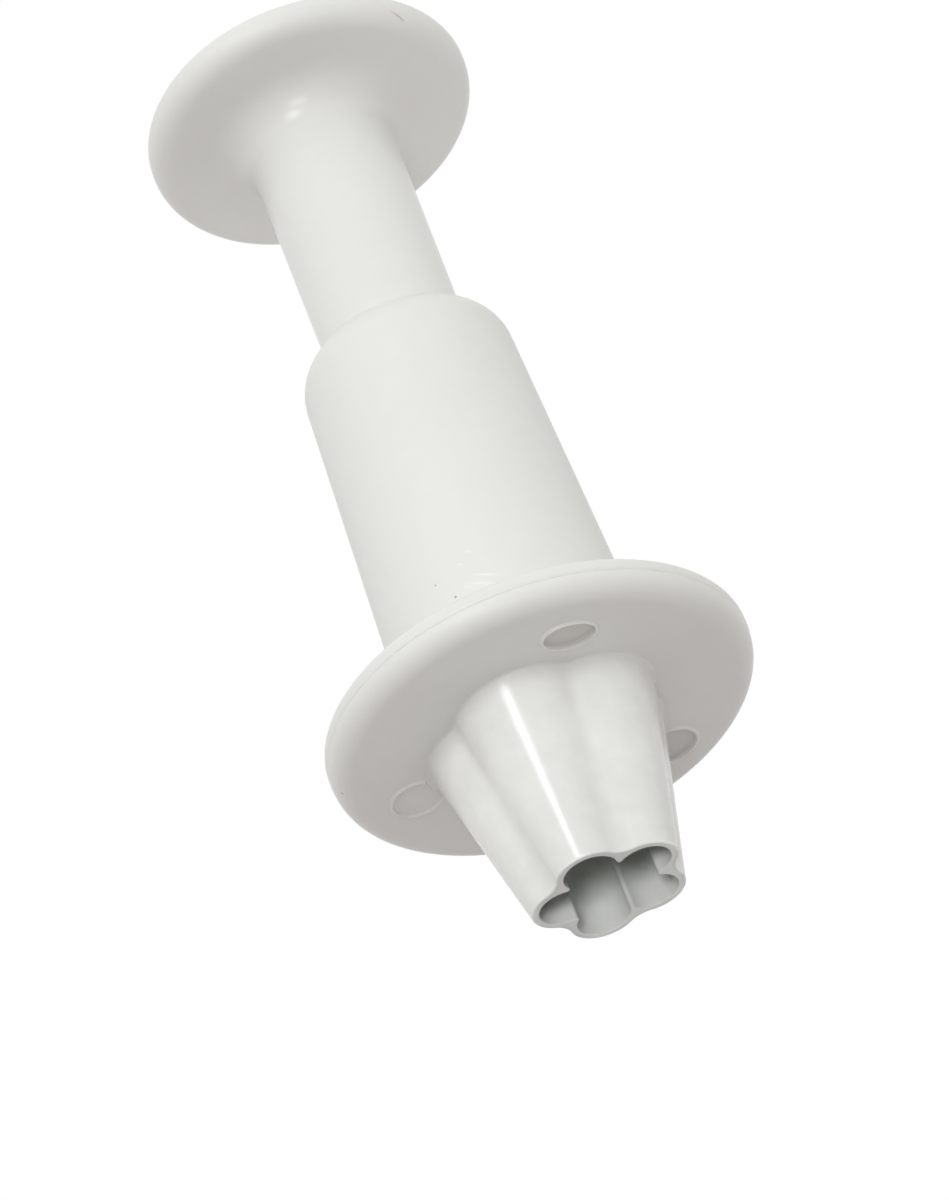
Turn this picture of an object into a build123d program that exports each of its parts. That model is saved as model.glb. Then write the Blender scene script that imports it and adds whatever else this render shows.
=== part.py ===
from build123d import *
import os
from math import atan2, cos, degrees, dist, hypot, pi, radians, sin, sqrt

os.makedirs("parts", exist_ok=True)

# A spring plunger cutter that cuts small five-petal blossoms from rolled icing. It stands on its
# cutting edge: z = 0 is the plane of that edge, the axis runs up +Z to the knob, and one petal
# points to -Y. Lengths are in millimetres.

# The blossom that is cut: round petals about the axis, each touching the next
petal_count = 5
first_petal_azimuth = -90.0
flower_radius = 5.0
hollow_notch_radius = 0.2

# The nose: a thin cutting edge that grows thicker towards the finger flange. Its lobes also stand
# further out at the root, so the valleys between them stay deep all the way up.
nose_length = 13.3
edge_wall = 0.5
root_wall = 3.5
root_lobe_shift = 0.45
edge_notch_radius = 2.0
root_notch_radius = 1.5
edge_rounding = 0.15
nose_root_fillet = 0.25

# The finger flange, with the step of its mould's parting line and the marks of ejector pins
flange_radius = 15.0
flange_thickness = 2.6
flange_rim_rounding = 1.6
flange_back_rounding = 0.5
parting_land = 0.1
parting_step = 0.05
pin_mark_count = 3
pin_mark_radius = 1.9
pin_mark_place_share = 0.476
pin_mark_depth = 0.15
pin_mark_lip_width = 0.12
pin_mark_lip_height = 0.08

# The barrel above the flange
barrel_length = 31.9
barrel_foot_radius = 8.7
barrel_top_radius = 7.7
barrel_foot_fillet = 0.9
barrel_shoulder_rounding = 2.7

# The web across the barrel's foot, with the tube on it that guides the rod
web_thickness = 2.0
guide_height = 8.0
guide_wall = 1.15

# The plunger: how far it moves, and the sizes of its stem and knob
travel = 12.0
stem_radius = 5.2
stem_top_radius = 5.42
stem_showing = 21.9
stem_clearance = 0.1
stem_land_length = 4.0
stem_land_clearance = 0.06
knob_radius = 12.4
knob_thickness = 2.3
knob_rim_rounding = 1.5
knob_back_rounding = 0.5
knob_fillet = 3.0
knob_floor = 3.6
gate_mark_radius = 1.6
gate_mark_depth = 0.2
gate_stub_radius = 0.45
gate_stub_height = 0.12

# The ejector: a five-petal foot with the rod that joins it to the stem
foot_thickness = 3.0
foot_overrun = 0.5
foot_clearance = 0.15
foot_edge_rounding = 0.2
rod_radius = 2.4
rod_clearance = 0.08
spigot_radius = 1.8
spigot_length = 12.0
spigot_clearance = 0.02
spigot_rounding = 0.3

# The return spring
wire_radius = 0.3
spring_turns = 8
spring_seat_gap = 0.05
end_pitch_share = 0.5
knots_per_turn = 4

# Cuts run past the faces that they open by this much
overrun = 1.0

# Levels along the axis
flange_top = nose_length + flange_thickness
barrel_top = flange_top + barrel_length
web_bottom = travel + foot_thickness - foot_overrun
web_top = web_bottom + web_thickness
guide_top = web_top + guide_height
stem_end = guide_top + travel
knob_bottom = barrel_top + stem_showing
knob_top = knob_bottom + knob_thickness
spigot_top = stem_end + spigot_length

# Sizes that follow from the ones above
petal_step = 360.0 / petal_count
half_step = petal_step / 2
touching_share = sin(radians(half_step))
petal_radius = flower_radius * touching_share / (1 + touching_share)
petal_centre_radius = flower_radius - petal_radius
edge_lobe_radius = petal_radius + edge_wall
root_lobe_radius = petal_radius + root_wall - root_lobe_shift
root_centre_radius = petal_centre_radius + root_lobe_shift
rim_radius = flange_radius - parting_step
stem_draft = (stem_top_radius - stem_radius) / stem_showing
bore_radius = stem_radius + stem_draft * travel + stem_clearance
guide_bore_radius = rod_radius + rod_clearance
guide_radius = guide_bore_radius + guide_wall
spring_radius = (guide_radius + bore_radius) / 2


def polar(radius, azimuth):
    """A point in the XY plane, with its azimuth in degrees."""
    return radius * cos(radians(azimuth)), radius * sin(radians(azimuth))


def notch_centre(centre_radius, lobe_radius, notch_radius):
    """How far from the axis the arc of a notch has its centre, so that it meets both lobes smoothly."""
    reach = lobe_radius + notch_radius
    half_gap = centre_radius * sin(radians(half_step))
    return centre_radius * cos(radians(half_step)) + sqrt(reach**2 - half_gap**2)


def blossom(centre_radius, lobe_radius, notch_radius, level):
    """A flower's face: a round lobe about each petal's centre, and a round notch between lobes."""
    notch_centre_radius = notch_centre(centre_radius, lobe_radius, notch_radius)
    notch_x, notch_y = polar(notch_centre_radius, half_step)
    spread = degrees(atan2(notch_y, notch_x - centre_radius))
    edges = []
    for petal in range(petal_count):
        azimuth = first_petal_azimuth + petal * petal_step
        lobe = polar(centre_radius, azimuth)
        notch = polar(notch_centre_radius, azimuth + half_step)
        edges.append(CenterArc(lobe, lobe_radius, azimuth - spread, 2 * spread))
        edges.append(CenterArc(notch, notch_radius, azimuth + spread + 180, petal_step - 2 * spread))
    return Pos(0, 0, level) * Face(Wire(edges))


def prism(face, height):
    """The face drawn out straight up."""
    return extrude(face, amount=height, dir=(0, 0, 1))


def disc(radius, bottom, top):
    """A plain cylinder on the axis between two levels."""
    low = (Align.CENTER, Align.CENTER, Align.MIN)
    return Pos(0, 0, bottom) * Cylinder(radius, top - bottom, align=low)


def turned(corners):
    """A solid of revolution from the (radius, level, rounding) corners of a closed outline."""
    points = [(radius, 0, level) for radius, level, rounding in corners]
    roundings = [rounding for radius, level, rounding in corners]
    return revolve(Face(Wire(FilletPolyline(*points, radius=roundings, close=True).edges())), Axis.Z)


def nose():
    """The tapered five-petal nose, with the outside of its cutting edge rounded."""
    edge_face = blossom(petal_centre_radius, edge_lobe_radius, edge_notch_radius, 0)
    root_face = blossom(root_centre_radius, root_lobe_radius, root_notch_radius, nose_length)
    taper = loft([edge_face, root_face], ruled=True)
    cutting_end = taper.faces().sort_by(Axis.Z)[0]
    return fillet(cutting_end.edges(), edge_rounding)


def barrel_and_flange():
    """The turned outside of the barrel and its finger flange."""
    parting_level = nose_length + flange_rim_rounding + parting_land
    return turned([
        (0, nose_length, 0),
        (rim_radius, nose_length, flange_rim_rounding),
        (rim_radius, parting_level, 0),
        (flange_radius, parting_level, 0),
        (flange_radius, flange_top, flange_back_rounding),
        (barrel_foot_radius, flange_top, barrel_foot_fillet),
        (barrel_top_radius, barrel_top, barrel_shoulder_rounding),
        (0, barrel_top, 0),
    ])


def with_pin_marks(body):
    """The body with the shallow round marks of ejector pins on its flange, each with a thin lip."""
    lip_bottom = nose_length - pin_mark_lip_height
    lip_radius = pin_mark_radius + pin_mark_lip_width
    valley_centre_radius = notch_centre(root_centre_radius, root_lobe_radius, root_notch_radius)
    flat_inner_radius = valley_centre_radius - root_notch_radius + nose_root_fillet
    flat_width = rim_radius - flange_rim_rounding - flat_inner_radius
    for mark in range(pin_mark_count):
        azimuth = first_petal_azimuth + half_step + mark * 360.0 / pin_mark_count
        place = Pos(*polar(flat_inner_radius + pin_mark_place_share * flat_width, azimuth))
        body += place * disc(lip_radius, lip_bottom, nose_length)
        body -= place * disc(pin_mark_radius, lip_bottom - overrun, nose_length + pin_mark_depth)
    return body


def cutter_body():
    """One moulding: barrel, finger flange, nose with its cutting edge, web and guide tube."""
    body = barrel_and_flange() + nose()
    nose_reach = root_centre_radius + root_lobe_radius
    root_edges = [
        edge
        for edge in body.edges().filter_by_position(Axis.Z, nose_length, nose_length)
        if hypot((edge @ 0).X, (edge @ 0).Y) < (nose_reach + rim_radius - flange_rim_rounding) / 2
    ]
    body = with_pin_marks(fillet(root_edges, nose_root_fillet))
    bore = disc(bore_radius, web_top, barrel_top + overrun)
    petals = blossom(petal_centre_radius, petal_radius, hollow_notch_radius, -overrun)
    hollow = prism(petals, web_bottom + overrun)
    guide = disc(guide_radius, web_bottom, guide_top)
    guide_bore = disc(guide_bore_radius, web_bottom - overrun, guide_top + overrun)
    return body - bore - hollow + guide - guide_bore


def plunger_knob():
    """The knob and its drafted stem, cored for the spigot, with a guide land at the lower end."""
    land_top = stem_end + stem_land_length
    land_radius = bore_radius - stem_land_clearance
    core_top = knob_top - knob_floor
    core_radius = spigot_radius + spigot_clearance
    body = turned([
        (0, stem_end, 0),
        (land_radius, stem_end, spigot_rounding),
        (land_radius, land_top, 0),
        (stem_radius, land_top, 0),
        (stem_radius, barrel_top, 0),
        (stem_top_radius, knob_bottom, knob_fillet),
        (knob_radius, knob_bottom, knob_rim_rounding),
        (knob_radius, knob_top, knob_back_rounding),
        (gate_mark_radius, knob_top, 0),
        (gate_mark_radius, knob_top - gate_mark_depth, 0),
        (gate_stub_radius, knob_top - gate_mark_depth, 0),
        (gate_stub_radius, knob_top - gate_mark_depth + gate_stub_height, 0),
        (0, knob_top - gate_mark_depth + gate_stub_height, 0),
    ])
    return body - disc(core_radius, stem_end - overrun, core_top)


def ejector():
    """The petal foot that pushes the icing out, with its rod and the spigot pressed into the stem."""
    foot_level = web_bottom - foot_thickness
    foot_petal_radius = petal_radius - foot_clearance
    foot_notch_radius = hollow_notch_radius + foot_clearance
    petals = blossom(petal_centre_radius, foot_petal_radius, foot_notch_radius, foot_level)
    foot = prism(petals, foot_thickness)
    foot = fillet(foot.faces().sort_by(Axis.Z)[0].edges(), foot_edge_rounding)
    rod = turned([
        (0, web_bottom - foot_edge_rounding, 0),
        (rod_radius, web_bottom - foot_edge_rounding, 0),
        (rod_radius, stem_end, 0),
        (spigot_radius, stem_end, 0),
        (spigot_radius, spigot_top, spigot_rounding),
        (0, spigot_top, 0),
    ])
    return foot + rod


def spring_point(turn):
    """A point of the spring's centre line, and its direction, a number of turns from its foot."""
    bottom = web_top + spring_seat_gap + wire_radius
    rise = stem_end - spring_seat_gap - wire_radius - bottom
    share = turn / spring_turns
    swing = (1 - end_pitch_share) / (2 * pi)
    level = bottom + rise * (share - swing * sin(2 * pi * share))
    slope = rise / spring_turns * (1 - (1 - end_pitch_share) * cos(2 * pi * share))
    angle = 2 * pi * turn
    around = 2 * pi * spring_radius
    point = Vector(spring_radius * cos(angle), spring_radius * sin(angle), level)
    return point, Vector(-around * sin(angle), around * cos(angle), slope).normalized()


def biarc(start, start_way, end, end_way):
    """Two arcs that join two points and keep the directions at both."""
    chord = end - start
    ways = start_way + end_way
    bend = 2 * (1 - start_way.dot(end_way))
    reach = (sqrt(chord.dot(ways) ** 2 + bend * chord.dot(chord)) - chord.dot(ways)) / bend
    start_corner = start + start_way * reach
    end_corner = end - end_way * reach
    middle = (start_corner + end_corner) * 0.5
    return [
        TangentArc(start, middle, tangent=start_way),
        TangentArc(middle, end, tangent=end_corner - start_corner),
    ]


def return_spring():
    """The wound steel wire round the guide tube, between the web and the stem's end."""
    knots = [spring_point(knot / knots_per_turn) for knot in range(spring_turns * knots_per_turn + 1)]
    arcs = []
    for (start, start_way), (end, end_way) in zip(knots, knots[1:]):
        arcs += biarc(start, start_way, end, end_way)
    section = Plane(origin=knots[0][0], z_dir=knots[0][1]) * Circle(wire_radius)
    return sweep(section, path=Wire(arcs))


def least_spring_gap():
    """The least gap between turns of the wire, measured on points of its centre line."""
    points_per_turn = 48
    points = [
        tuple(spring_point(step / points_per_turn)[0])
        for step in range(spring_turns * points_per_turn + 1)
    ]
    apart = points_per_turn // 2
    gaps = [
        dist(points[low], points[high])
        for low in range(len(points) - apart)
        for high in range(low + apart, min(low + 3 * apart, len(points)))
    ]
    return min(gaps) - 2 * wire_radius


nodes = {
    "cutter_body": cutter_body,
    "plunger_knob": plunger_knob,
    "ejector": ejector,
    "return_spring": return_spring,
}

for name, make in nodes.items():
    export_step(make(), "parts/" + name + ".step")

print("overall height", round(knob_top, 3))
print("least gap between the spring's turns", round(least_spring_gap(), 3))
print("spring closed solid", spring_turns * 2 * wire_radius, "of", stem_end - travel - web_top)
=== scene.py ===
import math

import bmesh
import bpy
from mathutils import Matrix, Vector


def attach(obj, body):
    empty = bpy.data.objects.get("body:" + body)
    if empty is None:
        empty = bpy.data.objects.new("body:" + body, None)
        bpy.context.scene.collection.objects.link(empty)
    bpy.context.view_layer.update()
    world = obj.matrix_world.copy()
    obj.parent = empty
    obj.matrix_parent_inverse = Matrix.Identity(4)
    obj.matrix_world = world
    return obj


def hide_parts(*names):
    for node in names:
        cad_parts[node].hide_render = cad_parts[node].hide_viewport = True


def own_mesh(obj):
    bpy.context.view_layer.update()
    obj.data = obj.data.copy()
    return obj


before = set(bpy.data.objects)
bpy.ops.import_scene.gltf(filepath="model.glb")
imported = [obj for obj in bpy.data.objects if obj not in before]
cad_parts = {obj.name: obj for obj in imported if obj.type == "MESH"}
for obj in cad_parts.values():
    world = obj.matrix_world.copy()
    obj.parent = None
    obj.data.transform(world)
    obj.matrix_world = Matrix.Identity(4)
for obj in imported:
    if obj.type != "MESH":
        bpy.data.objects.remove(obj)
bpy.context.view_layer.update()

# Cutter body
# One moulding of white plastic: a barrel with a finger flange and a five-petal cutting nose, and inside it
# a web with a tube on it that guides the rod. The nose is polished and the rest is satin. The flange's
# underside keeps the marks of three ejector pins, and its rim the step of the mould's parting line.
millimetre = 0.001  # the pieces are drawn in millimetres, and a finished mesh is in metres
petal_count = 5
flower_radius, petal_radius, hollow_notch_radius = 5.0, 1.851, 0.2
petal_centre_radius = flower_radius - petal_radius
nose_length, edge_wall, root_wall, root_lobe_shift = 13.3, 0.5, 3.5, 0.45
edge_lobe_radius, edge_notch_radius = petal_radius + edge_wall, 2.0
root_lobe_radius, root_notch_radius = petal_radius + root_wall - root_lobe_shift, 1.5
root_centre_radius = petal_centre_radius + root_lobe_shift
nose_slope = (root_wall - edge_wall) / nose_length
edge_rounding, mouth_rounding, edge_strip = 0.15, 0.03, 0.04
nose_root_fillet, root_strip = 0.25, 0.05
travel, foot_thickness, foot_overrun = 12.0, 3.0, 0.5
web_thickness, guide_height, guide_wall, inner_rounding = 2.0, 8.0, 1.15, 0.1
web_bottom = travel + foot_thickness - foot_overrun
web_top = web_bottom + web_thickness
guide_top = web_top + guide_height
rod_radius, rod_clearance = 2.4, 0.08
guide_bore_radius = rod_radius + rod_clearance
guide_radius = guide_bore_radius + guide_wall
flange_radius, flange_thickness, flange_rim_rounding, flange_back_rounding = 15.0, 2.6, 1.5, 0.5
flange_top, flange_fill_radius = nose_length + flange_thickness, 13.2
parting_level, parting_step, parting_slope, parting_rounding = 14.94, 0.04, 0.08, 0.1
barrel_length, barrel_foot_radius, barrel_foot_fillet = 31.9, 8.7, 0.9
barrel_top, barrel_top_radius, shoulder_rounding = flange_top + barrel_length, 7.7, 2.7
bore_radius = 5.4205
bore_mouth_width, bore_mouth_drop, bore_mouth_rise = 0.3, 0.033, 0.02
bore_mouth_radius, bore_mouth_level = bore_radius + bore_mouth_width, barrel_top - bore_mouth_drop
pin_mark_radius, pin_mark_lip_width, pin_mark_edge_width, pin_mark_margin = 1.8, 0.16, 0.28, 0.15
pin_mark_clearance = 0.1
floor_share, floor_tilt = 0.7, 0.25
lip_share, lip_tilt, lip_ripple = 0.8, 0.15, 0.05
outline_points, turned_steps, pin_mark_steps = 600, 288, 120
merge_distance = 1e-4


def on_blossom(share, lobe_radius, notch_radius, centre_radius=petal_centre_radius):
    """A point on a blossom's outline, a share of the way round it from the middle of the petal at -Y."""
    half_step = math.pi / petal_count
    petal = round(share * petal_count)
    side = share * petal_count - petal
    half_gap = centre_radius * math.sin(half_step)
    past_petals = math.sqrt((lobe_radius + notch_radius) ** 2 - half_gap ** 2)
    notch_centre = centre_radius * math.cos(half_step) + past_petals
    notch_x, notch_y = notch_centre * math.cos(half_step), notch_centre * math.sin(half_step)
    spread = math.atan2(notch_y, notch_x - centre_radius)
    lobe_length = lobe_radius * spread
    walk = 2 * abs(side) * (lobe_length + notch_radius * (spread - half_step))
    if walk < lobe_length:
        angle = walk / lobe_radius
        point = Vector((centre_radius + lobe_radius * math.cos(angle), lobe_radius * math.sin(angle)))
    else:
        angle = spread + math.pi - (walk - lobe_length) / notch_radius
        point = Vector((notch_x + notch_radius * math.cos(angle), notch_y + notch_radius * math.sin(angle)))
    point.y = math.copysign(point.y, side)
    return Matrix.Rotation(2 * half_step * petal - math.pi / 2, 2) @ point


def on_hollow(share, offset, level):
    """A point of the hollow's upright wall at a level, and an offset out from it."""
    point = on_blossom(share, petal_radius + offset, hollow_notch_radius - offset)
    return point.to_3d() + Vector((0, 0, level))


def on_nose(share, offset, level):
    """A point of the nose's outside at a level, and an offset out from its tapered wall."""
    low = on_blossom(share, edge_lobe_radius + offset, edge_notch_radius - offset)
    high = on_blossom(share, root_lobe_radius + offset, root_notch_radius - offset, root_centre_radius)
    return low.lerp(high, level / nose_length).to_3d() + Vector((0, 0, level))


def draw_petal_wall(bm, rings):
    """A wall with a blossom's outline: a circle of points that is put in the first ring's place and drawn on
    through the others. Each ring is a wall that it follows, an offset out from it, and a level."""
    share_of = bm.verts.layers.float.new("share")
    ring = bmesh.ops.create_circle(bm, cap_ends=False, radius=1, segments=outline_points)["verts"]
    wall, offset, level = rings[0]
    for number, vert in enumerate(ring):
        vert[share_of] = number / outline_points
        vert.co = wall(vert[share_of], offset, level)
    edges = list({edge for vert in ring for edge in vert.link_edges})
    for wall, offset, level in rings[1:]:
        drawn = bmesh.ops.extrude_edge_only(bm, edges=edges)["geom"]
        for vert in (part for part in drawn if isinstance(part, bmesh.types.BMVert)):
            vert.co = wall(vert[share_of], offset, level)
        edges = [part for part in drawn if isinstance(part, bmesh.types.BMEdge) and part.is_boundary]


def rounded_outline(corners, steps, beside=0.05):
    """The points of a turned outline from its (radius, level, rounding) corners. Each rounded corner has a
    point close by on either side, which keeps the flats beside it flat."""
    points = []
    for number, (radius, level, rounding) in enumerate(corners):
        corner = Vector((radius, level))
        if not rounding:
            points.append(corner)
            continue
        back = (Vector(corners[number - 1][:2]) - corner).normalized()
        on = (Vector(corners[number + 1][:2]) - corner).normalized()
        half = back.angle(on) / 2
        reach = rounding / math.tan(half)
        centre = corner + (back + on).normalized() * rounding / math.sin(half)
        start, end = corner + back * reach - centre, corner + on * reach - centre
        points.append(corner + back * (reach + beside))
        points += [centre + start.slerp(end, step / steps) * rounding for step in range(steps + 1)]
        points.append(corner + on * (reach + beside))
    return points


def turn_outline(bm, points, steps, place=(0, 0, 0)):
    """Spins an outline of (radius, level) points all the way round an upright axis at a place."""
    verts = [bm.verts.new((place[0] + point.x, place[1], point.y)) for point in points]
    edges = [bm.edges.new(pair) for pair in zip(verts, verts[1:])]
    bmesh.ops.spin(bm, geom=verts + edges, cent=place, axis=(0, 0, 1), dvec=(0, 0, 0), angle=2 * math.pi,
                   steps=steps, use_merge=True, use_normal_flip=False, use_duplicate=False)


def close_flat(bm, level):
    """Fills the flat area between the open rims that lie at a level."""
    rims = [edge for edge in bm.edges
            if edge.is_boundary and all(abs(vert.co.z - level) < merge_distance for vert in edge.verts)]
    bmesh.ops.triangle_fill(bm, use_beauty=True, use_dissolve=False, edges=rims, normal=(0, 0, 1))


def finished_piece(bm, name):
    """Makes the object of a closed shell that was drawn in millimetres."""
    bmesh.ops.remove_doubles(bm, verts=bm.verts, dist=merge_distance)
    bmesh.ops.scale(bm, vec=(millimetre, millimetre, millimetre), verts=bm.verts)
    bmesh.ops.recalc_face_normals(bm, faces=bm.faces)
    for face in bm.faces:
        face.smooth = True
    mesh = bpy.data.meshes.new(name)
    bm.to_mesh(mesh)
    bm.free()
    piece = bpy.data.objects.new(name, mesh)
    bpy.context.scene.collection.objects.link(piece)
    return piece


def arc(centre, radius, first, last, steps):
    """Points on an arc from one angle to another, in degrees."""
    angles = [math.radians(first + (last - first) * step / steps) for step in range(steps + 1)]
    return [(centre[0] + radius * math.cos(angle), centre[1] + radius * math.sin(angle)) for angle in angles]


def beside_wall(points, base_level):
    """Turns distances out from the nose wall's place at a base level into offsets from the sloped wall."""
    return [(x - nose_slope * (level - base_level), level) for x, level in points]


body_shell = bmesh.new()

# The rings of the hollow run down from the web to the edge, and those of the nose's outside up from it to
# the flange. A narrow flat strip lies beside each rounding.
hollow_rings = [(0, level) for level in (web_bottom, 14.4, 11.6, 8, 4, 1, 0.15)]
hollow_rings += [(x, mouth_rounding - y) for x, y in arc((mouth_rounding, 0), mouth_rounding, 180, 90, 3)]
hollow_rings += [(mouth_rounding + edge_strip, 0)]
slant = math.degrees(math.atan(nose_slope))
edge_centre = edge_rounding * (nose_slope - math.hypot(1, nose_slope))
root_centre = nose_root_fillet * (math.hypot(1, nose_slope) - nose_slope)
edge_arc = arc((edge_centre, edge_rounding), edge_rounding, -90, -slant, 6)
root_arc = arc((root_centre, nose_length - nose_root_fillet), nose_root_fillet, 180 - slant, 90, 9)
nose_rings = beside_wall([(edge_centre - edge_strip, 0)] + edge_arc, 0)
nose_rings += [(0, level) for level in (0.2, 0.9, 2.5, 5, 7.5, 10, 12, 12.75)]
nose_rings += beside_wall(root_arc + [(root_centre + root_strip, nose_length)], nose_length)
petal_rings = [(on_hollow, *ring) for ring in hollow_rings] + [(on_nose, *ring) for ring in nose_rings]
draw_petal_wall(body_shell, petal_rings)

rim_radius = flange_radius - parting_step
outside = rounded_outline([
    (flange_fill_radius, nose_length, 0),
    (rim_radius, nose_length, flange_rim_rounding),
    (rim_radius, parting_level - parting_slope, parting_rounding),
    (flange_radius, parting_level + parting_slope, parting_rounding),
    (flange_radius, flange_top, flange_back_rounding),
    (barrel_foot_radius, flange_top, barrel_foot_fillet),
    (barrel_top_radius, barrel_top, shoulder_rounding),
    (0, barrel_top, 0),
], steps=10, beside=0.03)
outside = [point for point in outside if point.x > bore_mouth_radius]
inside = rounded_outline([
    (bore_mouth_radius, bore_mouth_level + bore_mouth_rise, 0),
    (bore_radius, bore_mouth_level, 0.08),
    (bore_radius, web_top, inner_rounding),
    (guide_radius, web_top, inner_rounding),
    (guide_radius, guide_top, inner_rounding),
    (guide_bore_radius, guide_top, inner_rounding),
    (guide_bore_radius, web_bottom, 0),
], steps=4)
turn_outline(body_shell, outside + inside[1:], turned_steps)


def room_beside_nose(place, way):
    """How far a pin mark can reach from its middle, one way, before it meets the nose's root."""
    room = flange_radius
    for petal in range(petal_count):
        turn = Matrix.Rotation(2 * math.pi * petal / petal_count - math.pi / 2, 2)
        to_lobe = turn @ Vector((root_centre_radius, 0)) - place.xy
        ahead = to_lobe.dot(way)
        beside = root_lobe_radius + nose_root_fillet + pin_mark_clearance
        inside = ahead ** 2 - to_lobe.length_squared + beside ** 2
        if ahead > 0 and inside > 0:
            room = min(room, ahead - math.sqrt(inside))
    return room


# Each pin mark is a shallow pit with a raised lip. The pin stood a little askew in the mould, so the pit is
# deeper on one side and the lip higher on another, and both sides are angles in degrees. The mark's width,
# along the flange's radius, is a share of its length. Where the nose's root is close, the mark is squeezed.
for azimuth, ring_radius, width, depth, deep_side, lip_height, high_side in (
    (-55, 10.45, 0.72, 0.34, 75, 0.24, -110),
    (184.4, 10.1, 0.97, 0.12, -40, 0.22, 150),
    (60, 10.45, 1.0, 0.26, 0, 0.2, 70),
):
    place = Vector((math.cos(math.radians(azimuth)), math.sin(math.radians(azimuth)), 0)) * ring_radius
    outward = place.xy.normalized()
    mark_reach = pin_mark_radius + pin_mark_edge_width + pin_mark_margin
    mark = bmesh.new()
    turn_outline(mark, rounded_outline([
        (0, nose_length + depth, 0),
        (pin_mark_radius, nose_length + depth, 0.08),
        (pin_mark_radius, nose_length - lip_height, 0.07),
        (pin_mark_radius + pin_mark_lip_width, nose_length - lip_height, 0.08),
        (pin_mark_radius + pin_mark_edge_width, nose_length, 0.05),
        (mark_reach, nose_length, 0),
    ], steps=4, beside=0.005), pin_mark_steps, place)
    for vert in mark.verts:
        way = (vert.co - place).xy
        if way.length < merge_distance:
            vert.co.z = nose_length + depth * floor_share
            continue
        out_share = min(way.length / pin_mark_radius, 1)
        round_it = math.atan2(way.y, way.x)
        way += outward * way.dot(outward) * (width - 1)
        squeeze = min(1.0, room_beside_nose(place, way.normalized()) / mark_reach)
        vert.co.xy = place.xy + way * squeeze
        if vert.co.z > nose_length + merge_distance:
            share = floor_share + floor_tilt * out_share * math.cos(round_it - math.radians(deep_side))
        else:
            share = lip_share + lip_tilt * math.cos(round_it - math.radians(high_side))
            share = (share + lip_ripple * math.sin(5 * round_it)) * squeeze
        vert.co.z = nose_length + (vert.co.z - nose_length) * share
    mark_mesh = bpy.data.meshes.new("pin_mark")
    mark.to_mesh(mark_mesh)
    mark.free()
    body_shell.from_mesh(mark_mesh)
    bpy.data.meshes.remove(mark_mesh)
bmesh.ops.remove_doubles(body_shell, verts=body_shell.verts, dist=merge_distance)
close_flat(body_shell, nose_length)
close_flat(body_shell, web_bottom)
cutter_body = finished_piece(body_shell, "moulded_cutter_body")


def place_node(tree, kind, inputs, **settings):
    """Adds a node. Its inputs take a number, a colour, or another node's output to link."""
    node = tree.nodes.new(kind)
    for name, value in settings.items():
        setattr(node, name, value)
    for name, value in inputs.items():
        if isinstance(value, bpy.types.NodeSocket):
            tree.links.new(value, node.inputs[name])
        else:
            node.inputs[name].default_value = value
    return node


def math_node(tree, operation, first, second=0.0, third=0.0):
    """A math node on one to three numbers or outputs, and its result."""
    return place_node(tree, "ShaderNodeMath", {0: first, 1: second, 2: third}, operation=operation).outputs[0]


def graded(tree, share, plain, full):
    """A number that goes from a plain value to a full one as a share goes from 0 to 1."""
    return math_node(tree, "MULTIPLY_ADD", share, full - plain, plain)


def share_between(tree, value, start, end, low=0.0, high=1.0):
    """How far a value has come from a start to an end, as a number that goes from low to high."""
    limits = {"From Min": start, "From Max": end, "To Min": low, "To Max": high}
    return place_node(tree, "ShaderNodeMapRange", {"Value": value, **limits}).outputs["Result"]


def share_up(tree, place, start, end):
    """How far a place has come from one level to another, in millimetres, as a share."""
    level = place_node(tree, "ShaderNodeSeparateXYZ", {"Vector": place}).outputs["Z"]
    return share_between(tree, level, start * millimetre, end * millimetre)


def mixed_tone(tree, share, first, second):
    """A colour that goes from the first to the second as a share goes from 0 to 1."""
    tones = {"Factor": share, "A": first, "B": second}
    return place_node(tree, "ShaderNodeMix", tones, data_type="RGBA").outputs["Result"]


def noise(tree, place, scale, detail, roughness=0.5):
    """Smooth noise from 0 to 1."""
    inputs = {"Vector": place, "Scale": scale, "Detail": detail, "Roughness": roughness}
    return place_node(tree, "ShaderNodeTexNoise", inputs).outputs["Fac"]


def new_effect(name, inputs, outputs):
    """An empty node group with named inputs and outputs, and its two end nodes."""
    group = bpy.data.node_groups.new(name, "ShaderNodeTree")
    for kind, names in (("INPUT", inputs), ("OUTPUT", outputs)):
        for socket, socket_type in names.items():
            group.interface.new_socket(socket, in_out=kind, socket_type=socket_type)
    return group, group.nodes.new("NodeGroupInput"), group.nodes.new("NodeGroupOutput")


def use_effect(tree, group, inputs):
    """Places a shared effect in a material with its own inputs."""
    return place_node(tree, "ShaderNodeGroup", inputs, node_tree=group)


# The skin that the mould leaves: a faint grain, a slow waviness that bends the highlights, and a gloss that
# changes a little from place to place.
moulded_skin, skin_in, skin_out = new_effect(
    "moulded skin",
    {"Place": "NodeSocketVector", "Roughness": "NodeSocketFloat", "Patches": "NodeSocketFloat",
     "Grain Depth": "NodeSocketFloat", "Wave Depth": "NodeSocketFloat"},
    {"Roughness": "NodeSocketFloat", "Height": "NodeSocketFloat"},
)
grain = noise(moulded_skin, skin_in.outputs["Place"], scale=5200.0, detail=2.0)
wave = noise(moulded_skin, skin_in.outputs["Place"], scale=420.0, detail=1.0, roughness=0.4)
patches = noise(moulded_skin, skin_in.outputs["Place"], scale=130.0, detail=3.0, roughness=0.55)
patch_share = math_node(moulded_skin, "SUBTRACT", patches, 0.5)
rough = math_node(moulded_skin, "MULTIPLY_ADD", patch_share, skin_in.outputs["Patches"],
                  skin_in.outputs["Roughness"])
grain_height = math_node(moulded_skin, "MULTIPLY", grain, skin_in.outputs["Grain Depth"])
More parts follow.
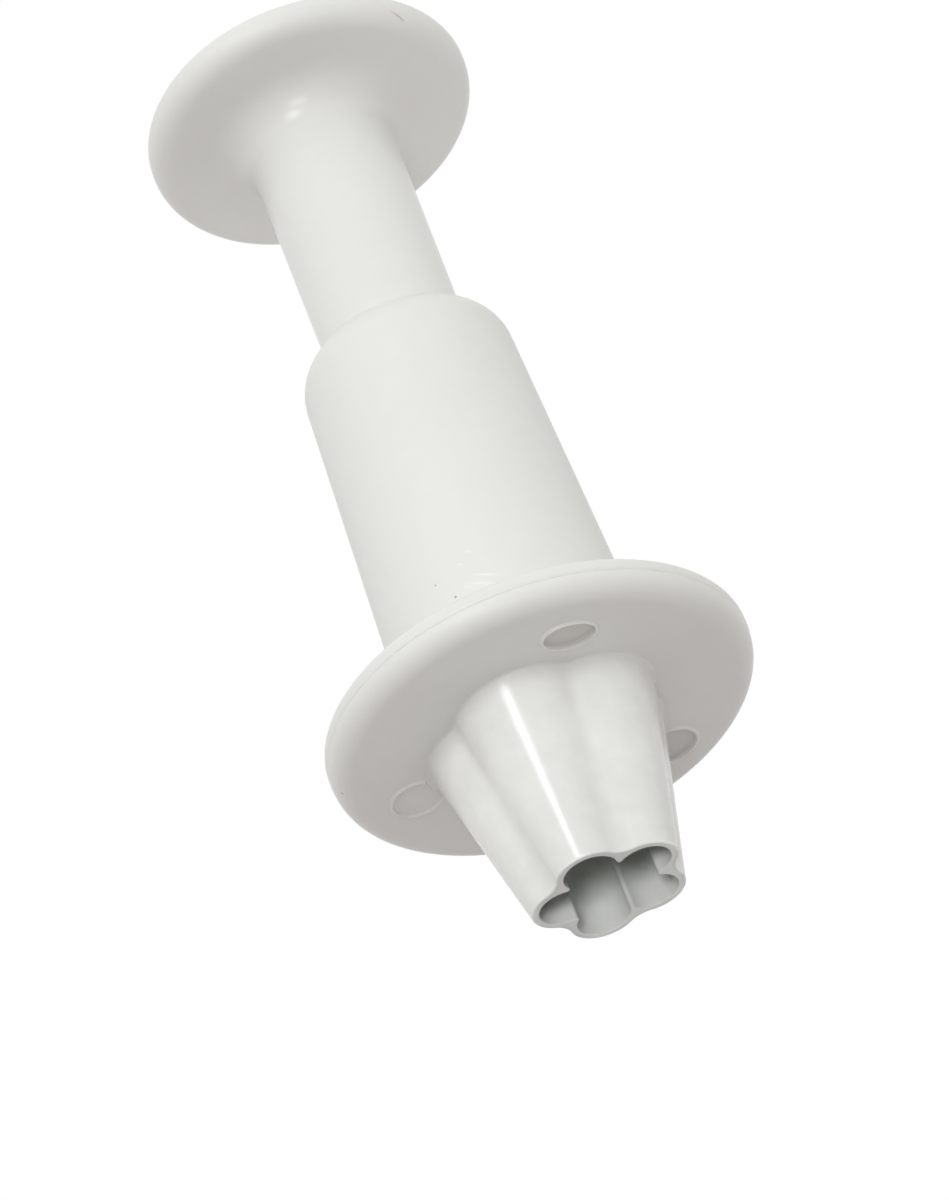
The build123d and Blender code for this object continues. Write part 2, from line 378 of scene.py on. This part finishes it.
height = math_node(moulded_skin, "MULTIPLY_ADD", wave, skin_in.outputs["Wave Depth"], grain_height)
moulded_skin.links.new(rough, skin_out.inputs["Roughness"])
moulded_skin.links.new(height, skin_out.inputs["Height"])

# White plastic is never one even colour: thick and thin places differ a little, and pigment clouds it.
clouded_white, cloud_in, cloud_out = new_effect(
    "clouded white",
    {"Place": "NodeSocketVector", "Color": "NodeSocketColor", "Deeper Color": "NodeSocketColor"},
    {"Color": "NodeSocketColor"},
)
clouds = noise(clouded_white, cloud_in.outputs["Place"], scale=95.0, detail=4.0, roughness=0.6)
fine_clouds = noise(clouded_white, cloud_in.outputs["Place"], scale=900.0, detail=2.0)
fine_share = 0.35
cloud_sum = math_node(clouded_white, "MULTIPLY_ADD", fine_clouds, fine_share, clouds)
cloud_share = share_between(clouded_white, cloud_sum, start=0.45, end=0.9)
cloud_tone = mixed_tone(clouded_white, cloud_share, cloud_in.outputs["Color"],
                        cloud_in.outputs["Deeper Color"])
clouded_white.links.new(cloud_tone, cloud_out.inputs["Color"])

# A small mark at one place, such as a dark grain, a scratch or a raised dash, with a ragged edge. It
# reaches further one way than another.
small_mark, mark_in, mark_out = new_effect(
    "small mark",
    {"Place": "NodeSocketVector", "Centre": "NodeSocketVector", "Turn": "NodeSocketVector",
     "Reach": "NodeSocketVector", "Raggedness": "NodeSocketFloat"},
    {"Mask": "NodeSocketFloat"},
)
from_centre = place_node(small_mark, "ShaderNodeVectorMath",
                         {0: mark_in.outputs["Place"], 1: mark_in.outputs["Centre"]}, operation="SUBTRACT")
turned = place_node(small_mark, "ShaderNodeVectorRotate",
                    {"Vector": from_centre.outputs[0], "Rotation": mark_in.outputs["Turn"]},
                    rotation_type="EULER_XYZ")
in_reaches = place_node(small_mark, "ShaderNodeVectorMath",
                        {0: turned.outputs[0], 1: mark_in.outputs["Reach"]}, operation="DIVIDE")
distance = place_node(small_mark, "ShaderNodeVectorMath", {0: in_reaches.outputs[0]}, operation="LENGTH")
ragged_noise = noise(small_mark, mark_in.outputs["Place"], scale=14000.0, detail=2.0)
ragged = math_node(small_mark, "SUBTRACT", ragged_noise, 0.5)
ragged_distance = math_node(small_mark, "MULTIPLY_ADD", ragged, mark_in.outputs["Raggedness"],
                            distance.outputs["Value"])
mark_share = share_between(small_mark, ragged_distance, start=1.05, end=0.35)
small_mark.links.new(mark_share, mark_out.inputs["Mask"])


def small_marks(tree, place, raggedness, marks):
    """The mask of some small marks. Each has its centre in millimetres, its turn in degrees, and how far it
    reaches three ways in millimetres."""
    mask = 0.0
    for centre, turn, reach in marks:
        one_mark = use_effect(tree, small_mark, {
            "Place": place,
            "Centre": [millimetre * length for length in centre],
            "Turn": [math.radians(angle) for angle in turn],
            "Reach": [millimetre * length for length in reach],
            "Raggedness": raggedness,
        })
        mask = math_node(tree, "MAXIMUM", one_mark.outputs["Mask"], mask)
    return mask


def white_plastic(name):
    """A material of white plastic, which lets a little light in under its skin. Gives the material, its
    nodes and the piece's own coordinates."""
    plastic = bpy.data.materials.new(name)
    plastic.use_nodes = True
    tree = plastic.node_tree
    shader = tree.nodes["Principled BSDF"]
    shader.inputs["IOR"].default_value = 1.49
    shader.inputs["Subsurface Weight"].default_value = 0.08
    shader.inputs["Subsurface Radius"].default_value = (1.0, 1.0, 0.9)
    shader.inputs["Subsurface Scale"].default_value = 0.0012
    return plastic, tree, place_node(tree, "ShaderNodeTexCoord", {}).outputs["Object"]


def give_finish(tree, tone, roughness, height, strength=1.0, distance=0.001):
    """Gives a material's shader its colour, its roughness and the height of its skin."""
    shader = tree.nodes["Principled BSDF"]
    tree.links.new(tone, shader.inputs["Base Color"])
    tree.links.new(roughness, shader.inputs["Roughness"])
    bump = place_node(tree, "ShaderNodeBump", {"Height": height, "Strength": strength, "Distance": distance})
    tree.links.new(bump.outputs["Normal"], shader.inputs["Normal"])


moulded_tone, deeper_tone = (0.80, 0.812, 0.785, 1), (0.775, 0.785, 0.765, 1)
# Painted light: the polished nose gets a lighter tone, so that the whole nose looks more lit.
nose_painted_light_tone = (0.875, 0.892, 0.862, 1)
# The pin pits' darker tone is painted shade.
dark_grain_tone, pit_floor_shade_tone = (0.22, 0.21, 0.19, 1), (0.67, 0.665, 0.64, 1)
# The dashes' lighter tone is a painted glint; their gloss and rise are real.
painted_glint_tone, dash_gloss, dash_rise = (0.88, 0.89, 0.865, 1), -0.25, 0.012
satin, polished = 0.43, 0.23
satin_grain, polished_grain = 0.0007, 0.0002
polish_start, polish_end = nose_length - 0.02, nose_length - 0.2
pit_shade_start, pit_shade_end = nose_length + 0.05, nose_length + 0.12

body_plastic, tree, place = white_plastic("body_plastic")
polish_and_nose_light = share_up(tree, place, polish_start, polish_end)
skin = use_effect(tree, moulded_skin, {
    "Place": place,
    "Roughness": graded(tree, polish_and_nose_light, satin, polished),
    "Patches": 0.1,
    "Grain Depth": graded(tree, polish_and_nose_light, satin_grain, polished_grain),
    "Wave Depth": 0.016,
})
# The nose's lighter tone is painted light; its lower roughness is its real polish.
body_tone = mixed_tone(tree, polish_and_nose_light, moulded_tone, nose_painted_light_tone)
white = use_effect(tree, clouded_white, {"Place": place, "Color": body_tone, "Deeper Color": deeper_tone})

# Two dark grains low on the barrel and one in the flange's rim
dark_grains = small_marks(tree, place, raggedness=0.9, marks=[
    ((-1.304, -8.389, 22.319), (0, 0, 0), (0.09, 0.2, 0.07)),
    ((-0.246, -8.549, 20.545), (0, 0, 0), (0.11, 0.2, 0.11)),
    ((-13.407, -5.308, 13.714), (0, 0, 0), (0.11, 0.11, 0.14)),
])

# Painted shade on the floors of two of the pin marks' pits
painted_pit_shade = small_marks(tree, place, raggedness=0.1, marks=[
    ((5.99, -8.56, 13.5), (0, 0, 55), (3, 4, 4)),
    ((5.04, 9.1, 13.5), (0, 0, 0), (4, 4, 4)),
])
pit_floor_shade = math_node(tree, "MULTIPLY", painted_pit_shade, share_up(tree, place, pit_shade_start, pit_shade_end))

# Short glossy dashes low on the barrel, a little raised, from dents in the mould. Their lighter tone is a
# painted glint.
raised_dashes_and_painted_glints = small_marks(tree, place, raggedness=0.3, marks=[
    ((2.205, -8.215, 21.085), (0, -26.7, 0), (1.05, 0.6, 0.14)),
    ((1.805, -8.345, 20.545), (0, -28.6, 0), (0.95, 0.6, 0.14)),
    ((1.59, -8.31, 23.44), (0, -27, 0), (0.26, 0.6, 0.12)),
    ((0.79, -8.44, 22.75), (0, -27, 0), (0.26, 0.6, 0.12)),
    ((0.85, -8.5, 20.73), (0, -27, 0), (0.4, 0.6, 0.08)),
])
body_tone = mixed_tone(tree, pit_floor_shade, white.outputs["Color"], pit_floor_shade_tone)
body_tone = mixed_tone(tree, dark_grains, body_tone, dark_grain_tone)
body_tone = mixed_tone(tree, raised_dashes_and_painted_glints, body_tone, painted_glint_tone)
body_gloss = math_node(tree, "MULTIPLY_ADD", raised_dashes_and_painted_glints, dash_gloss, skin.outputs["Roughness"])
body_height = math_node(tree, "MULTIPLY_ADD", raised_dashes_and_painted_glints, dash_rise, skin.outputs["Height"])
give_finish(tree, body_tone, body_gloss, body_height)
cutter_body.data.materials.append(body_plastic)
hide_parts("cutter_body")
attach(cutter_body, "barrel")

# Return spring
# A coil of drawn stainless wire round the guide tube, with its end turns wound closer. It stands on the web
# and lifts the plunger by the end of its stem, and shortens as the knob is pressed.
wire_radius, wire_sides = 0.3, 14
spring_turns, steps_per_turn = 8, 40
spring_radius, spring_gap = (guide_radius + bore_radius) / 2, 0.35
stem_end = guide_top + travel
spring_bottom, spring_top = web_top + spring_gap, stem_end - spring_gap

coil = bmesh.new()
wire = coil.verts.layers.float_vector.new("wire")
section = bmesh.ops.create_circle(coil, cap_ends=False, radius=wire_radius, segments=wire_sides)["verts"]
bmesh.ops.rotate(coil, verts=section, cent=(0, 0, 0), matrix=Matrix.Rotation(math.pi / 2, 3, "X"))
for vert in section:
    vert[wire] = (vert.co.x / wire_radius, vert.co.z / wire_radius, 0)
bmesh.ops.translate(coil, verts=section, vec=(spring_radius, 0, spring_bottom))
edges = list({edge for vert in section for edge in vert.link_edges})

# The wire climbs half as fast at both ends as it does on average.
wire_steps = spring_turns * steps_per_turn
climb = [step / wire_steps - math.sin(2 * math.pi * step / wire_steps) / (4 * math.pi)
         for step in range(wire_steps + 1)]
rise = [(spring_top - spring_bottom) * share for share in climb]
one_step = Matrix.Rotation(2 * math.pi / steps_per_turn, 3, "Z")
for step in range(wire_steps):
    drawn = bmesh.ops.extrude_edge_only(coil, edges=edges)["geom"]
    verts = [part for part in drawn if isinstance(part, bmesh.types.BMVert)]
    edges = [part for part in drawn if isinstance(part, bmesh.types.BMEdge) and part.is_boundary]
    bmesh.ops.rotate(coil, verts=verts, cent=(0, 0, 0), matrix=one_step)
    bmesh.ops.translate(coil, verts=verts, vec=(0, 0, rise[step + 1] - rise[step]))
    for vert in verts:
        vert[wire].z = step + 1
bmesh.ops.holes_fill(coil, edges=coil.edges, sides=0)
return_spring = finished_piece(coil, "wound_return_spring")

# The die that drew the wire left fine lines along it.
bright_steel, dull_steel = (0.66, 0.66, 0.65, 1), (0.5, 0.5, 0.5, 1)
bright_gloss, dull_gloss = 0.2, 0.42

spring_steel = bpy.data.materials.new("spring_steel")
spring_steel.use_nodes = True
tree = spring_steel.node_tree
tree.nodes["Principled BSDF"].inputs["Metallic"].default_value = 1.0
on_wire = place_node(tree, "ShaderNodeAttribute", {}, attribute_name="wire").outputs["Vector"]
stretched = place_node(tree, "ShaderNodeMapping", {"Vector": on_wire, "Scale": (3.0, 3.0, 0.12)}).outputs[0]
draw_lines = noise(tree, stretched, scale=4.0, detail=3.0)
steel_tone = mixed_tone(tree, draw_lines, bright_steel, dull_steel)
steel_gloss = share_between(tree, draw_lines, 0.0, 1.0, low=bright_gloss, high=dull_gloss)
give_finish(tree, steel_tone, steel_gloss, draw_lines, strength=0.4, distance=0.00001)
return_spring.data.materials.append(spring_steel)
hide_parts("return_spring")
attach(return_spring, "barrel")
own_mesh(return_spring)

# Ejector
# A moulding of the same plastic: a thick five-petal foot that fills the hollow nose with a little
# clearance, and the round rod above it, whose thinner end is pressed into the plunger's stem.
foot_bottom, foot_clearance = web_bottom - foot_thickness, 0.15
foot_rounding, foot_top_rounding, foot_strip = 0.2, 0.05, 0.05
rod_foot_width, rod_steps = 0.12, 128
spigot_radius, spigot_length = 1.8, 12.0
spigot_top = stem_end + spigot_length

ejector_shell = bmesh.new()
foot_rings = [(-foot_rounding - foot_strip, foot_bottom)]
foot_rings += arc((-foot_rounding, foot_bottom + foot_rounding), foot_rounding, -90, 0, 6)
foot_rings += [(0, foot_bottom + foot_rounding + foot_strip)]
foot_rings += [(0, web_bottom - foot_top_rounding - foot_strip)]
foot_rings += arc((-foot_top_rounding, web_bottom - foot_top_rounding), foot_top_rounding, 0, 90, 3)
foot_rings += [(-foot_top_rounding - foot_strip, web_bottom)]
draw_petal_wall(ejector_shell, [(on_hollow, offset - foot_clearance, level) for offset, level in foot_rings])
turn_outline(ejector_shell, rounded_outline([
    (rod_radius + rod_foot_width, web_bottom, 0),
    (rod_radius, web_bottom, 0.05),
    (rod_radius, stem_end, 0.1),
    (spigot_radius, stem_end, 0.1),
    (spigot_radius, spigot_top, 0.3),
    (0, spigot_top, 0),
], steps=4), rod_steps)
bmesh.ops.remove_doubles(ejector_shell, verts=ejector_shell.verts, dist=merge_distance)
close_flat(ejector_shell, foot_bottom)
close_flat(ejector_shell, web_bottom)
ejector = finished_piece(ejector_shell, "petal_foot_ejector")

foot_deeper_tone = (0.77, 0.78, 0.76, 1)

ejector_plastic, tree, place = white_plastic("ejector_plastic")
skin = use_effect(tree, moulded_skin, {"Place": place, "Roughness": 0.34, "Patches": 0.12,
                                       "Grain Depth": 0.0006, "Wave Depth": 0.003})
white = use_effect(tree, clouded_white, {"Place": place, "Color": moulded_tone,
                                         "Deeper Color": foot_deeper_tone})
give_finish(tree, white.outputs["Color"], skin.outputs["Roughness"], skin.outputs["Height"])
ejector.data.materials.append(ejector_plastic)
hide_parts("ejector")
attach(ejector, "plunger")

# Plunger knob
# One moulding of white plastic: a flat round knob on a stem that slides in the barrel. The stem is cored
# for the ejector's rod and has a softer gloss than the nose. The knob's rim and face are satin, and its
# face keeps the mark of the mould's gate.
stem_radius, stem_top_radius, stem_showing = 5.2, 5.42, 21.9
land_length, land_clearance, spigot_clearance = 4.0, 0.06, 0.02
knob_radius, knob_thickness, knob_fillet, knob_floor = 12.4, 2.3, 3.0, 3.6
gate_mark_radius, gate_mark_depth, gate_stub_radius, gate_stub_height = 1.6, 0.2, 0.45, 0.12
land_radius, land_top = bore_radius - land_clearance, stem_end + land_length
knob_bottom = barrel_top + stem_showing
knob_top = knob_bottom + knob_thickness
core_radius, core_top = spigot_radius + spigot_clearance, knob_top - knob_floor
gate_mark_floor = knob_top - gate_mark_depth
gate_stub_top = gate_mark_floor + gate_stub_height

knob_shell = bmesh.new()
stem_outline = rounded_outline([
    (0, core_top, 0),
    (core_radius, core_top, 0.1),
    (core_radius, stem_end, 0.1),
    (land_radius, stem_end, 0.3),
    (land_radius, land_top, 0.05),
    (stem_radius, land_top, 0.05),
    (stem_radius, barrel_top, 0),
    (stem_top_radius, knob_bottom, knob_fillet),
    (knob_radius, knob_bottom, 1.5),
    (knob_radius, knob_top, 0.5),
    (gate_mark_radius, knob_top, 0.06),
    (gate_mark_radius, gate_mark_floor, 0.05),
    (gate_stub_radius, gate_mark_floor, 0.04),
    (gate_stub_radius, gate_stub_top, 0.03),
    (0, gate_stub_top, 0),
], steps=9, beside=0.03)
turn_outline(knob_shell, stem_outline, turned_steps)
plunger_knob = finished_piece(knob_shell, "pressed_knob_and_stem")

stem_gloss = 0.295
gloss_start, gloss_end = knob_bottom + 0.1, knob_bottom - 1.1
knob_patches, stem_patches = 0.1, 0.015
scratch_tone = (0.56, 0.53, 0.52, 1)

knob_plastic, tree, place = white_plastic("knob_plastic")
gloss = share_up(tree, place, gloss_start, gloss_end)
skin = use_effect(tree, moulded_skin, {
    "Place": place,
    "Roughness": graded(tree, gloss, satin, stem_gloss),
    "Patches": graded(tree, gloss, knob_patches, stem_patches),
    "Grain Depth": 0.0006,
    "Wave Depth": 0.012,
})
white = use_effect(tree, clouded_white, {"Place": place, "Color": moulded_tone, "Deeper Color": deeper_tone})
scratch = small_marks(tree, place, raggedness=0.9, marks=[
    ((10.71, -5.68, 70.34), (17.9, 0, 15), (0.5, 0.85, 0.07)),
])
knob_tone = mixed_tone(tree, scratch, white.outputs["Color"], scratch_tone)
give_finish(tree, knob_tone, skin.outputs["Roughness"], skin.outputs["Height"])
plunger_knob.data.materials.append(knob_plastic)
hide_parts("plunger_knob")
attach(plunger_knob, "plunger")

# Table
# A pale round table with a see-through top, in metres. The lamps shine up through it, most of all under the
# hollow nose, and the camera, which stands lower than the top, looks through it. It takes the tool's shadow
# and throws a soft light back up, and behind the tool it glows a little.
table_radius, table_level = 2.0, -0.00002

table_face = bmesh.new()
bmesh.ops.create_circle(table_face, cap_ends=True, radius=table_radius, segments=96)
bmesh.ops.translate(table_face, verts=table_face.verts, vec=(0, 0, table_level))
table_face.normal_update()
bmesh.ops.reverse_faces(table_face, faces=[face for face in table_face.faces if face.normal.z < 0])
table_mesh = bpy.data.meshes.new("table")
table_face.to_mesh(table_mesh)
table_face.free()
table = bpy.data.objects.new("table", table_mesh)
bpy.context.scene.collection.objects.link(table)

table_tone, mottled_tone, glow_tone = (0.69, 0.655, 0.66, 1), (0.665, 0.635, 0.64, 1), (1.0, 1.0, 0.97, 1)
glow_start, glow_end, glow_strength, behind_fade = 0.03, 0.06, 0.22, 0.03
window_reach, window_petal_reach, window_fade = 0.0048, 0.0006, 0.0007
window_clearness, table_clearness = 0.64, 0.2

table_top = bpy.data.materials.new("table_top")
table_top.use_nodes = True
tree = table_top.node_tree
tree.nodes.remove(tree.nodes["Principled BSDF"])
rays = place_node(tree, "ShaderNodeLightPath", {})
side = place_node(tree, "ShaderNodeNewGeometry", {})
place = place_node(tree, "ShaderNodeTexCoord", {}).outputs["Object"]
on_table = place_node(tree, "ShaderNodeSeparateXYZ", {"Vector": place})
from_middle = place_node(tree, "ShaderNodeVectorMath", {0: place}, operation="LENGTH").outputs["Value"]

mottled = mixed_tone(tree, noise(tree, place, scale=9.0, detail=3.0), table_tone, mottled_tone)
matt = place_node(tree, "ShaderNodeBsdfDiffuse", {"Color": mottled})
outer_glow = share_between(tree, from_middle, glow_start, glow_end, high=glow_strength)
behind = share_between(tree, on_table.outputs["Y"], -behind_fade, behind_fade)
glow_behind = math_node(tree, "MULTIPLY", outer_glow, behind)
not_camera = math_node(tree, "SUBTRACT", 1.0, rays.outputs["Is Camera Ray"])
glow = place_node(tree, "ShaderNodeEmission",
                  {"Color": glow_tone, "Strength": math_node(tree, "MULTIPLY", glow_behind, not_camera)})
lit = place_node(tree, "ShaderNodeAddShader", {0: matt.outputs[0], 1: glow.outputs[0]})

# The clear window under the nose has the hollow's five petals, one of them at -Y.
way_round = math_node(tree, "ARCTAN2", on_table.outputs["Y"], on_table.outputs["X"])
petal_wave = math_node(tree, "SINE", math_node(tree, "MULTIPLY", way_round, petal_count))
window_edge = math_node(tree, "MULTIPLY_ADD", petal_wave, -window_petal_reach, window_reach)
past_window = math_node(tree, "SUBTRACT", from_middle, window_edge)
clearness = share_between(tree, past_window, 0.0, window_fade, low=window_clearness, high=table_clearness)
looked_through = math_node(tree, "MULTIPLY", rays.outputs["Is Camera Ray"], side.outputs["Backfacing"])
shone_through = math_node(tree, "MULTIPLY", clearness, rays.outputs["Is Shadow Ray"])
see_through = math_node(tree, "MAXIMUM", looked_through, shone_through)
clear = place_node(tree, "ShaderNodeBsdfTransparent", {})
top = place_node(tree, "ShaderNodeMixShader", {0: see_through, 1: lit.outputs[0], 2: clear.outputs[0]})
tree.links.new(top.outputs[0], tree.nodes["Material Output"].inputs["Surface"])
table.data.materials.append(table_top)

# Lamps, room and camera
# Pale walls, brightest in front, give most of the light. A small lamp in front gives the narrow highlights,
# and one low in front and one below shine up through the table. The camera looks up at the tool from in
# front and below, rolled, as in the photograph. Lengths are in metres and powers in watts.
wall_tone, front_wall_tone = (0.68, 0.664, 0.662, 1), (1.22, 1.27, 1.215, 1)
front_way, front_narrowness = (0.33, -0.935, 0.14), 4.0
floor_line, wall_foot = -0.05, 0.0

world = bpy.data.worlds.new("studio")
bpy.context.scene.world = world
world.use_nodes = True
tree = world.node_tree
tree.nodes.remove(tree.nodes["Background"])
rays = place_node(tree, "ShaderNodeLightPath", {})
way = place_node(tree, "ShaderNodeTexCoord", {}).outputs["Generated"]
frontness = place_node(tree, "ShaderNodeVectorMath", {0: way, 1: front_way}, operation="DOT_PRODUCT")
facing = math_node(tree, "MAXIMUM", frontness.outputs["Value"])
front_share = math_node(tree, "POWER", facing, front_narrowness)
walls = mixed_tone(tree, front_share, wall_tone, front_wall_tone)
height = place_node(tree, "ShaderNodeSeparateXYZ", {"Vector": way}).outputs["Z"]
above_floor = share_between(tree, height, floor_line, wall_foot)
room = place_node(tree, "ShaderNodeBackground", {"Color": walls, "Strength": above_floor})
backdrop = place_node(tree, "ShaderNodeBackground", {"Color": (1, 1, 1, 1), "Strength": 1.0})
seen = math_node(tree, "MAXIMUM", rays.outputs["Is Camera Ray"], rays.outputs["Is Glossy Ray"])
seen = math_node(tree, "MAXIMUM", seen, rays.outputs["Is Transmission Ray"])
studio = place_node(tree, "ShaderNodeMixShader", {0: seen, 1: room.outputs[0], 2: backdrop.outputs[0]})
tree.links.new(studio.outputs[0], tree.nodes["World Output"].inputs["Surface"])

for name, direction, distance, size, power in (
    ("front_lamp", (-0.03, -0.99, 0.13), 0.7, 0.15, 0.85),
    ("low_front_lamp", (0.17, -0.93, -0.33), 0.6, 0.16, 2.85),
    ("lamp_below", (0.12, 0.38, -0.92), 0.4, 0.12, 0.4),
):
    lamp_data = bpy.data.lights.new(name, "AREA")
    lamp_data.shape = "DISK"
    lamp_data.size = size
    lamp_data.energy = power
    lamp = bpy.data.objects.new(name, lamp_data)
    from_tool = Vector(direction).normalized()
    lamp.location = from_tool * distance
    lamp.rotation_euler = from_tool.to_track_quat("Z", "Y").to_euler()
    lamp.visible_camera = False
    bpy.context.scene.collection.objects.link(lamp)

# In degrees, the camera's turn goes round the tool from its front, and its lift goes up from level.
camera_place = (0.063564, -0.229137, -0.138589)
camera_turn, camera_lift, camera_roll = 15.86, -34.591, -21.221

camera_data = bpy.data.cameras.new("camera")
camera_data.lens = 126.348
camera_data.sensor_width = 36.0
camera = bpy.data.objects.new("camera", camera_data)
camera.matrix_world = (
    Matrix.Translation(camera_place)
    @ Matrix.Rotation(math.radians(camera_turn), 4, "Z")
    @ Matrix.Rotation(math.radians(90 - camera_lift), 4, "X")
    @ Matrix.Rotation(math.radians(camera_roll), 4, "Z"))
bpy.context.scene.collection.objects.link(camera)
bpy.context.scene.camera = camera
bpy.context.scene.view_settings.view_transform = "Standard"
